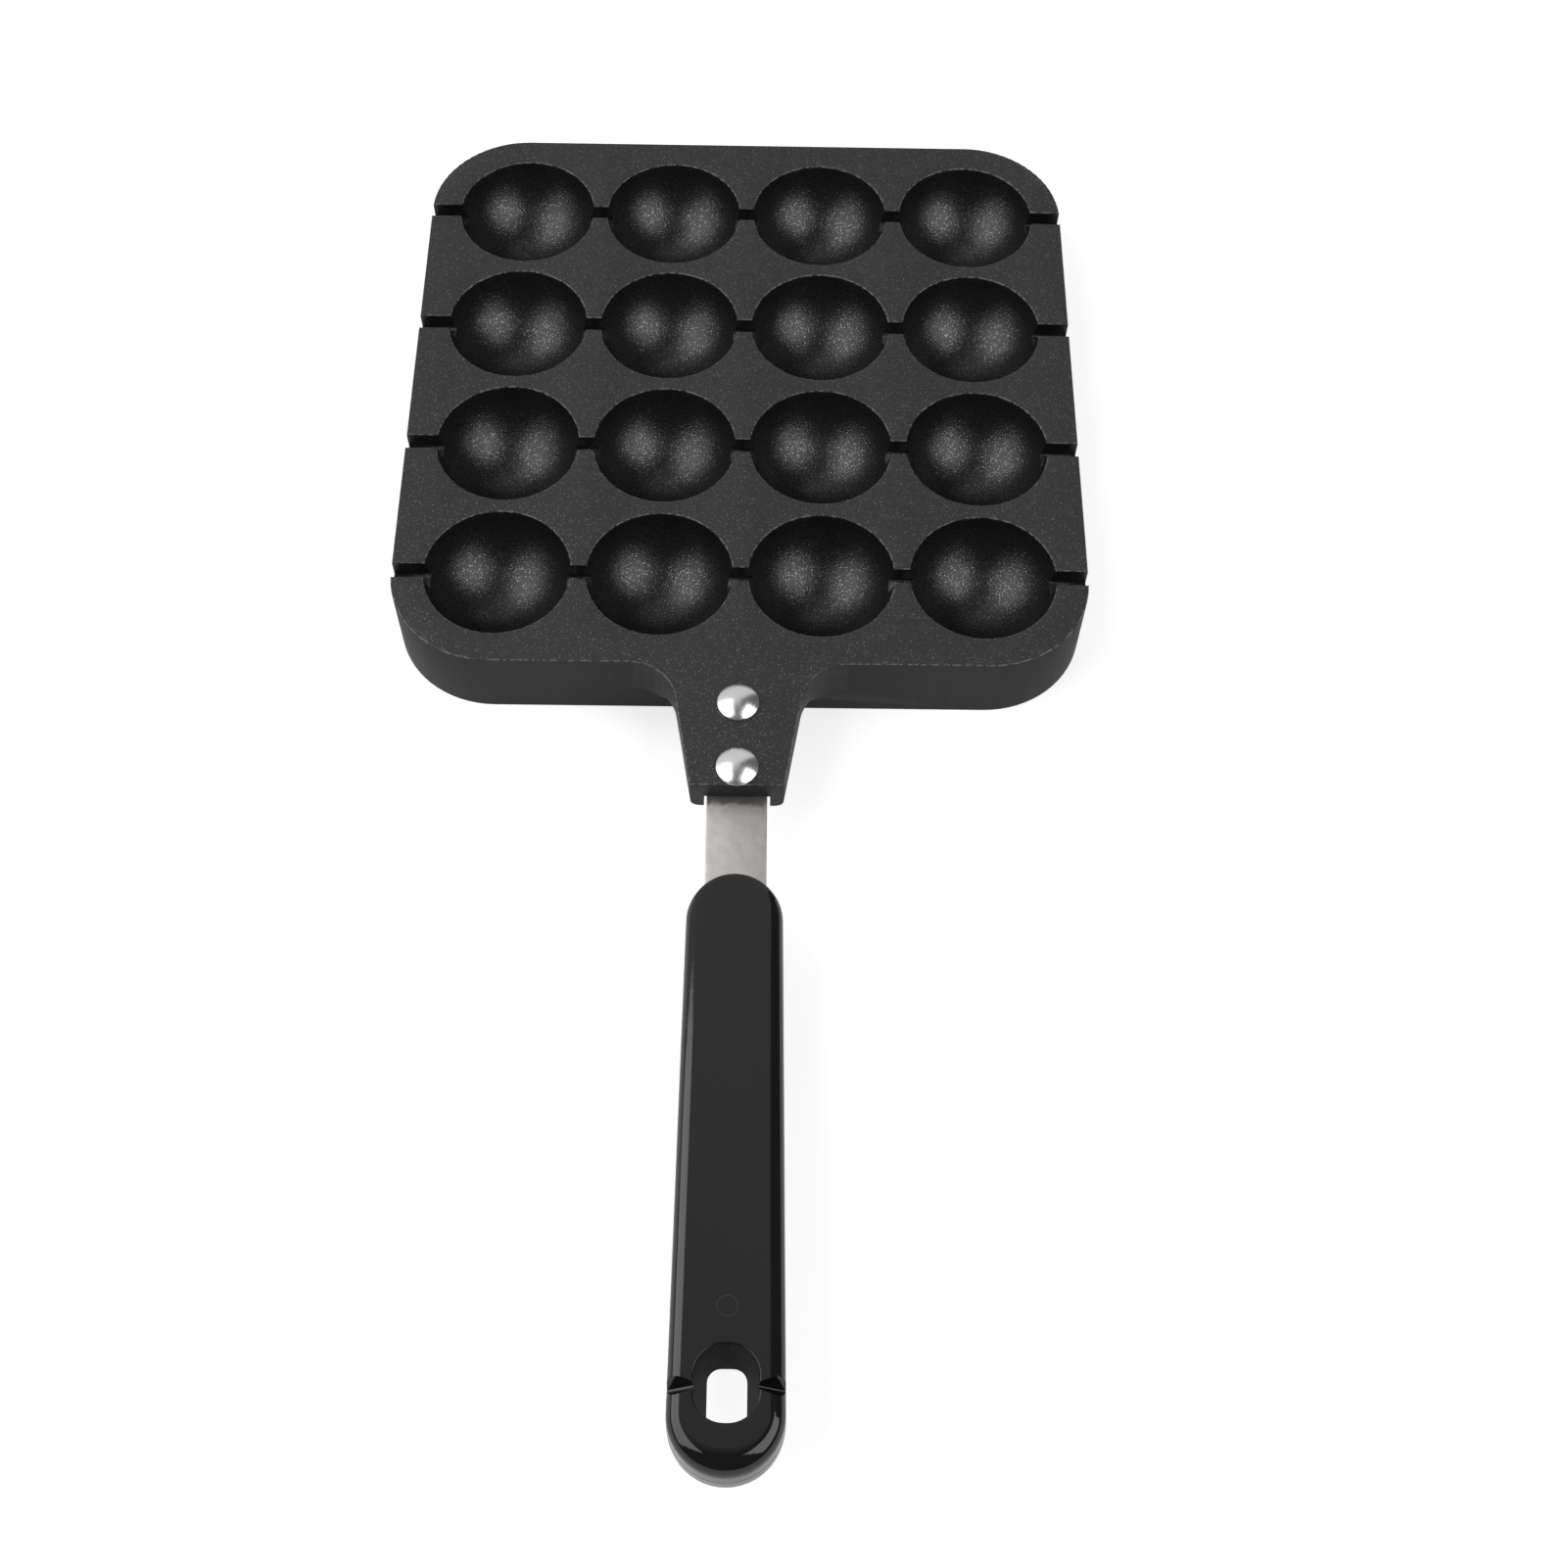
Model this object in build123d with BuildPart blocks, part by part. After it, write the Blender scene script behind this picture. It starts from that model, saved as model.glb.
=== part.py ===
from build123d import *
from math import atan2, cos, radians, sin, tan
import os

# Takoyaki pan: a cast griddle plate with a grid of ball cups, a steel strap riveted under its
# neck, and a moulded grip screwed to the strap's tang.
# Frame, in millimetres: the origin is the centre of the cup grid on the plane the pan stands on,
# +Z is up, and the handle runs towards -Y.

# Cups and plate
cup_rows = 4
cup_pitch = 41.0
cup_rim_diameter = 37.2
cup_depth = 17.0
cup_wall = 2.8
cup_floor = 2.4
plate_margin = 8.1
plate_height = 21.0
plate_corner_radius = 26.0
deck_thickness = 3.2
skirt_wall = 3.0
top_edge_round = 0.4

# Slots that join the cups of a row and run out through both side walls
slot_width = 4.2
slot_depth = 5.0
slot_rib_wall = 2.4

# Neck: an inverted channel that the strap lies in
neck_length = 34.5
neck_root_width = 34.2
neck_end_width = 22.6
neck_root_depth = 12.0
neck_end_depth = 10.3
neck_root_fillet = 12.0
neck_web = 5.7
channel_side_clearance = 0.7
channel_end_gap = 0.8

# Rivets
rivet_head_diameter = 10.4
rivet_head_height = 2.4
rivet_head_edge = 0.5
rivet_shank_diameter = 5.0
rivet_tail_diameter = 8.4
rivet_tail_height = 1.7
rivet_tail_edge = 0.9
rivet_hole_clearance = 0.05
rear_rivet_inset = 4.9
rivet_spacing = 18.0

# Handle strap
strap_width = 14.6
strap_thickness = 2.5
strap_bend_inset = 3.6
strap_bend_radius = 12.0
strap_reach = 24.6
handle_tilt = 2.0
tang_width = 10.0
tang_shoulder_depth = 14.0
tang_tip_margin = 4.2
tang_tip_round = 3.0

# Grip
grip_length = 136.6
grip_nose_width = 22.5
grip_butt_width = 24.6
grip_thickness = 16.5
grip_top_round = 3.2
grip_bottom_round = 5.0
socket_side_clearance = 0.2
socket_roof_clearance = 0.15
socket_end_clearance = 0.3

# Hanging hole and the notches beside it
hole_butt_inset = 18.1
hole_mouth_width = 13.7
hole_mouth_length = 16.1
hole_mouth_corner = 6.5
hole_side_draft = 2.6
hole_end_draft = 0.7
hole_foot_corner = 3.0
hole_rim_round = 0.6
notch_rim_depth = 1.6
notch_side_depth = 5.4
notch_side_width = 5.4
notch_offset = 0.5

# Grip screw, its washers and its recess in the underside of the grip
screw_hole_inset = 13.9
screw_diameter = 4.0
screw_head_diameter = 7.6
screw_head_height = 2.6
screw_head_round = 0.8
screw_tip_reach = 1.0
screw_tip_room = 0.6
thread_clearance = 0.05
screw_shaft_clearance = 0.2
recess_clearance = 0.3
recess_sink = 0.5
flat_washer_diameter = 9.0
flat_washer_thickness = 0.8
lock_washer_diameter = 7.0
lock_washer_thickness = 1.1
lock_washer_gap = 0.9
washer_bore_clearance = 0.15
driver_slot_length = 4.2
driver_slot_width = 0.9
driver_slot_depth = 1.4

# Places worked out from the sizes above
grid_span = cup_pitch * (cup_rows - 1)
plate_side = grid_span + cup_rim_diameter + 2 * plate_margin
plate_front = -plate_side / 2
row_places = [cup_pitch * i - grid_span / 2 for i in range(cup_rows)]
slot_rows = [(0, y) for y in row_places]
cup_radius = ((cup_rim_diameter / 2) ** 2 + cup_depth**2) / (2 * cup_depth)
cup_centre_height = plate_height - cup_depth + cup_radius
cup_underside = plate_height - cup_depth - cup_floor
deck_underside = plate_height - deck_thickness
deck_middle = plate_height - deck_thickness / 2
rib_underside = plate_height - slot_depth - slot_rib_wall

neck_end = plate_front - neck_length
neck_floor = plate_height - neck_web
channel_width = strap_width + 2 * channel_side_clearance
strap_bottom = neck_floor - strap_thickness
strap_front = plate_front - channel_end_gap
rear_rivet_place = neck_end + rear_rivet_inset
front_rivet_place = rear_rivet_place + rivet_spacing
rivet_places = [(0, front_rivet_place), (0, rear_rivet_place)]
rivet_grip = neck_web + strap_thickness

tilt = radians(handle_tilt)
bend_place = neck_end - strap_bend_inset
nose_place = neck_end - strap_reach
nose_height = strap_bottom + (bend_place - nose_place) * tan(tilt)
hole_place = grip_length - hole_butt_inset
screw_place = hole_place - screw_hole_inset
tang_length = screw_place + tang_tip_margin

# The handle's own plane: its origin is in the middle of the strap's thickness at the grip's
# nose, its X is the pan's X, its Y points back to the plate, and its Z leans with the tilt.
handle_plane = Plane(
    origin=(0, nose_place, nose_height),
    x_dir=(1, 0, 0),
    z_dir=(0, sin(tilt), cos(tilt)),
).offset(strap_thickness / 2)
handle_up = Axis(handle_plane.origin, handle_plane.z_dir)

# Heights above the handle's plane
grip_top = grip_thickness / 2
grip_bottom = -grip_thickness / 2
tang_top = strap_thickness / 2
tang_bottom = -strap_thickness / 2
recess_depth = screw_head_height + lock_washer_thickness + flat_washer_thickness + recess_sink
recess_top = grip_bottom + recess_depth
lock_washer_top = recess_top - flat_washer_thickness
screw_seat = lock_washer_top - lock_washer_thickness
screw_tip = tang_top + screw_tip_reach


# A cup's outside: a ball wall around the cup, flat at its lowest point
with BuildPart() as cup_bump:
    with BuildSketch(Plane.XZ) as bump_profile:
        with Locations((0, cup_centre_height)):
            Circle(cup_radius + cup_wall)
        with Locations((0, cup_underside)):
            Rectangle(
                2 * cup_radius,
                deck_middle - cup_underside,
                align=(Align.MIN, Align.MIN),
                mode=Mode.INTERSECT,
            )
    revolve(axis=Axis.Z)

# The neck and the band of the plate that it grows from, drawn from above and from the side
with BuildPart() as neck_block:
    with BuildSketch(Plane.XY.offset(plate_height)) as neck_plan:
        RectangleRounded(plate_side, plate_side, plate_corner_radius)
        with BuildLine() as neck_sides:
            Polyline(
                (-neck_root_width / 2, plate_front),
                (-neck_end_width / 2, neck_end),
                (neck_end_width / 2, neck_end),
                (neck_root_width / 2, plate_front),
                (neck_root_width / 2, plate_front + skirt_wall),
                (-neck_root_width / 2, plate_front + skirt_wall),
                close=True,
            )
        make_face()
        neck_roots = neck_plan.vertices().sort_by_distance((0, plate_front, plate_height))[:2]
        fillet(neck_roots, radius=neck_root_fillet)
    extrude(amount=-neck_root_depth)
    with BuildSketch(Plane.YZ) as neck_side_view:
        with BuildLine() as neck_side_line:
            Polyline(
                (plate_front + skirt_wall, plate_height),
                (neck_end, plate_height),
                (neck_end, plate_height - neck_end_depth),
                (plate_front, plate_height - neck_root_depth),
                (plate_front + skirt_wall, plate_height - neck_root_depth),
                close=True,
            )
        make_face()
    extrude(amount=plate_side, both=True, mode=Mode.INTERSECT)

with BuildPart() as pan_body:
    with BuildSketch() as plate_plan:
        RectangleRounded(plate_side, plate_side, plate_corner_radius)
    extrude(amount=plate_height)
    add(neck_block.part)

    # The hollow underside, open downwards, with the skirt left around it
    with BuildSketch() as hollow_plan:
        RectangleRounded(
            plate_side - 2 * skirt_wall,
            plate_side - 2 * skirt_wall,
            plate_corner_radius - skirt_wall,
        )
    extrude(amount=deck_underside, mode=Mode.SUBTRACT)

    # The cups' outsides, and a rib under each row of slots
    with GridLocations(cup_pitch, cup_pitch, cup_rows, cup_rows):
        add(cup_bump.part)
    with BuildSketch(Plane.XY.offset(rib_underside)) as rib_plan:
        with Locations(*slot_rows):
            Rectangle(plate_side - skirt_wall, slot_width + 2 * slot_rib_wall)
    extrude(amount=deck_middle - rib_underside)

    # The channel under the neck, open downwards and at the neck's end
    with BuildSketch() as channel_plan:
        with Locations((0, plate_front)):
            Rectangle(channel_width, 2 * neck_length, align=(Align.CENTER, Align.MAX))
    extrude(amount=neck_floor, mode=Mode.SUBTRACT)

    # The cups and the slots, cut from above
    with Locations(*[(x, y, cup_centre_height) for x in row_places for y in row_places]):
        Sphere(cup_radius, mode=Mode.SUBTRACT)
    with BuildSketch(Plane.XY.offset(plate_height)) as slot_plan:
        with Locations(*slot_rows):
            Rectangle(2 * plate_side, slot_width)
    extrude(amount=-slot_depth, mode=Mode.SUBTRACT)

    # The rims of the plate, the cups and the slots, softened together
    fillet(pan_body.faces().group_by(Axis.Z)[-1].edges(), radius=top_edge_round)

    # The rivet holes through the neck's web
    with BuildSketch(Plane.XY.offset(plate_height)) as rivet_hole_plan:
        with Locations(*rivet_places):
            Circle(rivet_shank_diameter / 2 + rivet_hole_clearance)
    extrude(amount=-neck_root_depth, mode=Mode.SUBTRACT)
pan_body.part.label = "pan_body"

with BuildPart() as handle_strap:
    with BuildSketch(Plane.YZ) as strap_side_view:
        with BuildLine() as strap_line:
            FilletPolyline(
                (strap_front, strap_bottom),
                (bend_place, strap_bottom),
                (
                    nose_place - 2 * tang_length * cos(tilt),
                    nose_height + 2 * tang_length * sin(tilt),
                ),
                radius=strap_bend_radius,
            )
            offset(amount=strap_thickness, side=Side.RIGHT, closed=True)
        make_face()
    extrude(amount=strap_width / 2, both=True)

    # From above: full width up to the shoulders inside the grip, then the narrower tang
    with BuildSketch(handle_plane) as strap_plan:
        with Locations((0, -tang_shoulder_depth)):
            Rectangle(strap_width, 2 * plate_side, align=(Align.CENTER, Align.MIN))
        with Locations((0, -tang_length)):
            Rectangle(tang_width, tang_length, align=(Align.CENTER, Align.MIN))
        fillet(strap_plan.vertices().sort_by(Axis.Y)[:2], radius=tang_tip_round)
    extrude(amount=plate_side, both=True, mode=Mode.INTERSECT)

    # Rivet holes square to the neck, and the tapped hole square to the tang
    with BuildSketch() as strap_rivet_holes:
        with Locations(*rivet_places):
            Circle(rivet_shank_diameter / 2 + rivet_hole_clearance)
    extrude(amount=plate_height, mode=Mode.SUBTRACT)
    with BuildSketch(handle_plane) as tapped_hole:
        with Locations((0, -screw_place)):
            Circle(screw_diameter / 2 + thread_clearance)
    extrude(amount=strap_thickness, both=True, mode=Mode.SUBTRACT)
handle_strap.part.label = "handle_strap"

# A rivet, with its origin on the deck under the middle of its head: the dome, the shank, and
# the tail that is formed under the strap
with BuildPart() as rivet:
    with BuildSketch(Plane.XZ) as rivet_profile:
        with BuildLine() as rivet_line:
            TangentArc(
                (0, rivet_head_height),
                (rivet_head_diameter / 2, rivet_head_edge),
                tangent=(1, 0),
            )
            Polyline(
                (rivet_head_diameter / 2, rivet_head_edge),
                (rivet_head_diameter / 2, 0),
                (rivet_shank_diameter / 2, 0),
                (rivet_shank_diameter / 2, -rivet_grip),
                (rivet_tail_diameter / 2, -rivet_grip),
                (rivet_tail_diameter / 2, -rivet_grip - rivet_tail_edge),
            )
            TangentArc(
                (0, -rivet_grip - rivet_tail_height),
                (rivet_tail_diameter / 2, -rivet_grip - rivet_tail_edge),
                tangent=(1, 0),
            )
            Line((0, -rivet_grip - rivet_tail_height), (0, rivet_head_height))
        make_face()
    revolve(axis=Axis.Z)

with BuildPart() as front_rivet:
    with Locations((0, front_rivet_place, plate_height)):
        add(rivet.part)
front_rivet.part.label = "front_rivet"

with BuildPart() as rear_rivet:
    with Locations((0, rear_rivet_place, plate_height)):
        add(rivet.part)
rear_rivet.part.label = "rear_rivet"


def notch_plane(side):
    """The plane across a notch at the hole's rim; the notch leaves it outwards and downwards."""
    run = (grip_butt_width - hole_mouth_width) / 2
    slope = atan2(notch_side_depth - notch_rim_depth, run)
    keel = (side * hole_mouth_width / 2, -hole_place - notch_offset, grip_top - notch_rim_depth)
    start = handle_plane.from_local_coords(keel)
    outwards = handle_plane.x_dir * (side * cos(slope)) - handle_plane.z_dir * sin(slope)
    return Plane(origin=start, x_dir=handle_plane.y_dir * side, z_dir=outwards)


with BuildPart() as grip:
    # Two round ends joined by straight sides that widen towards the butt
    with BuildSketch(handle_plane.offset(grip_bottom)) as grip_plan:
        with Locations((0, -grip_nose_width / 2)):
            Circle(grip_nose_width / 2)
        with Locations((0, grip_butt_width / 2 - grip_length)):
            Circle(grip_butt_width / 2)
        make_hull()
    extrude(amount=grip_thickness)
    fillet(grip.faces().sort_by(handle_up)[-1].edges(), radius=grip_top_round)
    fillet(grip.faces().sort_by(handle_up)[0].edges(), radius=grip_bottom_round)

    # The hanging hole, drafted from its mouth in the top face to its foot in the bottom face
    with BuildSketch(handle_plane.offset(grip_top)) as hole_mouth:
        with Locations((0, -hole_place)):
            RectangleRounded(hole_mouth_width, hole_mouth_length, hole_mouth_corner)
    with BuildSketch(handle_plane.offset(grip_bottom)) as hole_foot:
        with Locations((0, -hole_place)):
            RectangleRounded(
                hole_mouth_width - 2 * hole_side_draft,
                hole_mouth_length - 2 * hole_end_draft,
                hole_foot_corner,
            )
    loft(mode=Mode.SUBTRACT)
    top_rim = grip.faces().sort_by(handle_up)[-1].inner_wires().edges()
    bottom_rim = grip.faces().sort_by(handle_up)[0].inner_wires().edges()
    fillet(top_rim + bottom_rim, radius=hole_rim_round)

    # The two notches across the shoulders, deepening from the hole's rim to the sides
    for side in (-1, 1):
        with BuildSketch(notch_plane(side)) as notch_section:
            with BuildLine() as notch_line:
                Polyline(
                    (0, 0),
                    (-notch_side_width, 2 * notch_side_depth),
                    (notch_side_width, 2 * notch_side_depth),
                    close=True,
                )
            make_face()
        extrude(amount=grip_butt_width / 2, mode=Mode.SUBTRACT)
        extrude(notch_section.sketch, amount=-hole_side_draft, mode=Mode.SUBTRACT)

    # The socket that the strap's shoulders and tang slide into from the nose
    with BuildSketch(handle_plane.offset(tang_bottom)) as socket_plan:
        with Locations((0, -tang_shoulder_depth - socket_end_clearance)):
            Rectangle(
                strap_width + 2 * socket_side_clearance,
                2 * tang_shoulder_depth,
                align=(Align.CENTER, Align.MIN),
            )
        with Locations((0, -tang_length - socket_end_clearance)):
            Rectangle(
                tang_width + 2 * socket_side_clearance,
                tang_length,
                align=(Align.CENTER, Align.MIN),
            )
    extrude(amount=strap_thickness + socket_roof_clearance, mode=Mode.SUBTRACT)

    # The screw's recess, its shaft hole up to the tang, and the room for its tip above the tang
    with BuildSketch(handle_plane.offset(grip_bottom)) as recess_plan:
        with Locations((0, -screw_place)):
            Circle(flat_washer_diameter / 2 + recess_clearance)
    extrude(amount=recess_depth, mode=Mode.SUBTRACT)
    with BuildSketch(handle_plane.offset(grip_bottom)) as shaft_plan:
        with Locations((0, -screw_place)):
            Circle(screw_diameter / 2 + screw_shaft_clearance)
    extrude(amount=screw_tip + screw_tip_room - grip_bottom, mode=Mode.SUBTRACT)
grip.part.label = "grip"

with BuildPart() as grip_washer:
    with BuildSketch(handle_plane.offset(recess_top)) as grip_washer_plan:
        with Locations((0, -screw_place)):
            Circle(flat_washer_diameter / 2)
            Circle(screw_diameter / 2 + washer_bore_clearance, mode=Mode.SUBTRACT)
    extrude(amount=-flat_washer_thickness)
grip_washer.part.label = "grip_washer"

with BuildPart() as lock_washer:
    with BuildSketch(handle_plane.offset(lock_washer_top)) as lock_washer_plan:
        with Locations((0, -screw_place)):
            Circle(lock_washer_diameter / 2)
            Circle(screw_diameter / 2 + washer_bore_clearance, mode=Mode.SUBTRACT)
            Rectangle(
                lock_washer_diameter,
                lock_washer_gap,
                align=(Align.MIN, Align.CENTER),
                mode=Mode.SUBTRACT,
            )
    extrude(amount=-lock_washer_thickness)
lock_washer.part.label = "lock_washer"

with BuildPart() as grip_screw:
    with BuildSketch(handle_plane.offset(screw_seat)) as screw_head_plan:
        with Locations((0, -screw_place)):
            Circle(screw_head_diameter / 2)
    extrude(amount=-screw_head_height)
    fillet(grip_screw.edges().sort_by(handle_up)[0], radius=screw_head_round)
    with BuildSketch(handle_plane.offset(screw_seat)) as shank_plan:
        with Locations((0, -screw_place)):
            Circle(screw_diameter / 2)
    extrude(amount=screw_tip - screw_seat)
    with BuildSketch(handle_plane.offset(screw_seat - screw_head_height)) as driver_plan:
        with Locations((0, -screw_place)):
            Rectangle(driver_slot_length, driver_slot_width)
            Rectangle(driver_slot_width, driver_slot_length)
    extrude(amount=driver_slot_depth, mode=Mode.SUBTRACT)
grip_screw.part.label = "grip_screw"

if __name__ == "__main__":
    os.makedirs("parts", exist_ok=True)
    export_step(pan_body.part, "parts/pan_body.step")
    export_step(handle_strap.part, "parts/handle_strap.step")
    export_step(front_rivet.part, "parts/front_rivet.step")
    export_step(rear_rivet.part, "parts/rear_rivet.step")
    export_step(grip.part, "parts/grip.step")
    export_step(grip_washer.part, "parts/grip_washer.step")
    export_step(lock_washer.part, "parts/lock_washer.step")
    export_step(grip_screw.part, "parts/grip_screw.step")
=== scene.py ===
"""Takoyaki pan: finishes, moulded grip, set rivets and studio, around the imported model."""

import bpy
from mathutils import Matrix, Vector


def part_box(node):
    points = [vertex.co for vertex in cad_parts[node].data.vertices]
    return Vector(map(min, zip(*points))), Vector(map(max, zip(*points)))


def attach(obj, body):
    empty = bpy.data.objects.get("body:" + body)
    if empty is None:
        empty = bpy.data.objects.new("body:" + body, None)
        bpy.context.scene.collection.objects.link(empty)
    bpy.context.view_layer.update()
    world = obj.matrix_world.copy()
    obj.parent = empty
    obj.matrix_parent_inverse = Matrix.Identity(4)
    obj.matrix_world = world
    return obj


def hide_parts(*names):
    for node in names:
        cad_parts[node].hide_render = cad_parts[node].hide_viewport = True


bl_info = {
    "name": "Takoyaki Pan",
    "version": (1, 0, 0),
    "blender": (4, 5, 0),
    "location": "3D View > Sidebar > Takoyaki Pan",
    "description": "Dresses the packed takoyaki pan and sets up its studio",
    "category": "Object",
}

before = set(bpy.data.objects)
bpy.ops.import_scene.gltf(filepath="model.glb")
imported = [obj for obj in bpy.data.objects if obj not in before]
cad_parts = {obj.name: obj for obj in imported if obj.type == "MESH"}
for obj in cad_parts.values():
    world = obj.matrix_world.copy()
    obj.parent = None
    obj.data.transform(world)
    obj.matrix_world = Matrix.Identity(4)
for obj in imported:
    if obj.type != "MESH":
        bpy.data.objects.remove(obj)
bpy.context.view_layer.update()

import math

import bmesh
import bpy
from bpy.props import FloatProperty, FloatVectorProperty, PointerProperty
from bpy.types import Operator, Panel, PropertyGroup
from mathutils import Matrix, Vector

MM = 0.001
BODY = "root"
# Steps of the grip's mesh round a quarter of an edge, and down the hole's wall
ROUND_STEPS = 8
WALL_STEPS = 6


def length(name, text, millimetres):
    """A length property, given in millimetres and held in metres."""
    return FloatProperty(
        name=name,
        description=text,
        default=millimetres * MM,
        min=0.0,
        precision=5,
        subtype="DISTANCE",
        unit="LENGTH",
    )


def share(name, text, value, highest=1.0):
    """A plain number between nought and its highest value."""
    return FloatProperty(name=name, description=text, default=value, min=0.0, max=highest)


def degrees(name, text, value):
    """An angle property, given in degrees."""
    return FloatProperty(
        name=name, description=text, default=math.radians(value), subtype="ANGLE", unit="ROTATION"
    )


def colour(name, text, value):
    """A linear colour property."""
    return FloatVectorProperty(
        name=name, description=text, default=value, size=3, min=0.0, max=1.0, subtype="COLOR"
    )


def place(name, text, value):
    """A point in metres."""
    return FloatVectorProperty(
        name=name, description=text, default=value, size=3, subtype="TRANSLATION", unit="LENGTH"
    )


class PlateFinish(PropertyGroup):
    """The coatings of the cast plate."""

    cup_pitch: length("Cup pitch", "Distance between the centres of two cups", 41.0)
    cup_rim: length("Cup rim", "Diameter of a cup at the plate's top", 37.2)
    cup_depth: length("Cup depth", "Depth of a cup", 17.0)
    slot_width: length("Slot width", "Width of the slots between the cups", 4.2)
    slot_depth: length("Slot depth", "Depth of the slots between the cups", 5.0)
    corner_radius: length("Corner radius", "Radius of the plate's corners", 26.0)
    edge_round: length("Edge round", "Radius of the softened top edges", 0.4)
    neck_round: length("Neck round", "Radius along the neck's lower outer edges", 2.2)
    channel_width: length("Channel width", "Width of the channel under the neck", 16.0)
    land_colour: colour("Land", "Coating on the flat between the cups", (0.0205, 0.021, 0.022))
    # The cups' coating has a darker base than the flat's: painted shade inside the cups
    cup_shaded_colour: colour("Cups", "Coating inside the cups", (0.0058, 0.0059, 0.0064))
    # The walls' coating has a darker base than the flat's: painted shade on the plate's sides
    wall_shaded_colour: colour("Walls", "Coating on the outer walls", (0.0095, 0.0094, 0.0093))
    cast_colour: colour("Underside", "Bare side of the casting", (0.030, 0.029, 0.028))
    fleck_colour: colour("Flecks", "Metallic flecks in the coating", (0.24, 0.25, 0.27))
    worn_colour: colour("Worn", "Metal that shows where an edge is worn", (0.30, 0.30, 0.31))
    land_fleck_size: length("Land fleck size", "Distance between two flecks on the flat", 0.33)
    cup_fleck_size: length("Cup fleck size", "Distance between two flecks in the cups", 0.36)


class StrapFinish(PropertyGroup):
    """The tumbled steel strap."""

    edge_round: length("Edge round", "Radius of the strap's edges", 0.3)
    steel_colour: colour("Steel", "Tumbled steel", (0.66, 0.64, 0.615))
    # Painted shade: a darker patch on the strap beside the neck, standing in for the neck's shadow and
    # reflection
    neck_shade_colour: colour("Neck shade", "Darker steel near the neck", (0.24, 0.235, 0.23))
    neck_shade_reach: length("Stain reach", "How far the darker steel wavers along the strap", 5.0)
    grain_size: length("Grain size", "Size of the tumbling marks", 0.35)


class RivetShape(PropertyGroup):
    """A set rivet."""

    head_radius: length("Head radius", "Radius of the head", 5.2)
    head_height: length("Head height", "Height of the dome above the plate", 2.4)
    head_edge: length("Head edge", "Height of the head's upright edge", 0.5)
    shank_radius: length("Shank radius", "Radius of the shank", 2.5)
    tail_radius: length("Tail radius", "Radius of the formed tail", 4.2)
    tail_height: length("Tail height", "Height of the formed tail", 1.7)
    tail_edge: length("Tail edge", "Height of the tail's upright edge", 0.9)
    edge_round: length("Edge round", "Radius of the rivet's edges", 0.14)
    metal_colour: colour("Aluminium", "Bright aluminium", (0.90, 0.90, 0.905))


class GripShape(PropertyGroup):
    """The moulded grip, measured along its own plane."""

    tilt: degrees("Tilt", "Rise of the handle towards its butt", 2.0)
    full_length: length("Length", "Length from nose to butt", 136.6)
    nose_width: length("Nose width", "Width at the nose", 22.5)
    butt_width: length("Butt width", "Width at the butt", 24.6)
    thickness: length("Thickness", "Thickness of the moulding", 16.5)
    nose_round: length("Nose round", "Rounding of the top edge at the nose", 1.2)
    side_round: length("Side round", "Rounding of the top edge along the sides", 3.2)
    butt_round: length("Butt round", "Rounding of the top edge at the butt", 4.9)
    bottom_round: length("Bottom round", "Rounding of the lower edge", 5.0)
    seam_height: length("Seam height", "Height of the mould's parting seam", 0.05)
    hole_inset: length("Hole inset", "From the hole's centre to the butt", 18.1)
    hole_width: length("Hole width", "Width of the hole's mouth", 13.7)
    hole_length: length("Hole length", "Length of the hole's mouth", 16.1)
    mouth_corner: length("Mouth corner", "Corner radius of the hole's mouth", 6.5)
    side_draft: length("Side draft", "Narrowing of the hole on each side", 2.6)
    end_draft: length("End draft", "Narrowing of the hole at each end", 0.7)
    foot_corner: length("Foot corner", "Corner radius where the hole comes out below", 3.0)
    rim_round: length("Rim round", "Rounding of the hole's rim", 0.25)
    notch_offset: length("Notch offset", "From the hole's centre to the notches", 0.5)
    notch_keel_round: length("Notch keel round", "Half width of the rounded keel", 0.45)
    notch_rim_depth: length("Notch rim depth", "Depth of a notch at the hole's rim", 1.6)
    notch_side_depth: length("Notch side depth", "Depth of a notch at the grip's side", 5.4)
    notch_side_width: length("Notch side width", "Width of a notch at the side", 5.4)
    mark_radius: length("Mark radius", "Radius of the ejector mark on the top", 2.2)
    mark_inset: length("Mark inset", "From the hole's centre to the ejector mark", 15.9)
    screw_inset: length("Screw inset", "From the hole's centre to the screw", 13.9)
    recess_radius: length("Recess radius", "Radius of the screw's recess", 4.8)
    recess_depth: length("Recess depth", "Depth of the screw's recess", 5.0)
    shaft_radius: length("Shaft radius", "Radius of the hole for the screw's shaft", 2.2)
    strap_thickness: length("Strap thickness", "Thickness of the strap in its socket", 2.5)
    socket_clearance: length("Socket clearance", "Room round the strap in its socket", 0.2)
    shoulder_depth: length("Shoulder depth", "From the nose to the end of the socket's wide part", 14.3)
    tang_width: length("Tang width", "Width of the socket's narrow part", 10.4)
    tang_margin: length("Tang margin", "From the screw to the end of the socket", 4.5)
    edge_round: length("Edge round", "Radius of the moulding's small edges", 0.18)
    plastic_colour: colour("Phenolic", "Black phenolic", (0.0042, 0.0042, 0.0044))
    dust_colour: colour("Dust", "Specks of dust on the grip", (0.35, 0.35, 0.34))
    mark_colour: colour("Mark", "Line of the ejector mark", (0.022, 0.022, 0.022))


class FastenerFinish(PropertyGroup):
    """The grip's screw and washers."""

    steel_colour: colour("Steel", "Bright zinc on steel", (0.55, 0.55, 0.53))


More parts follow.
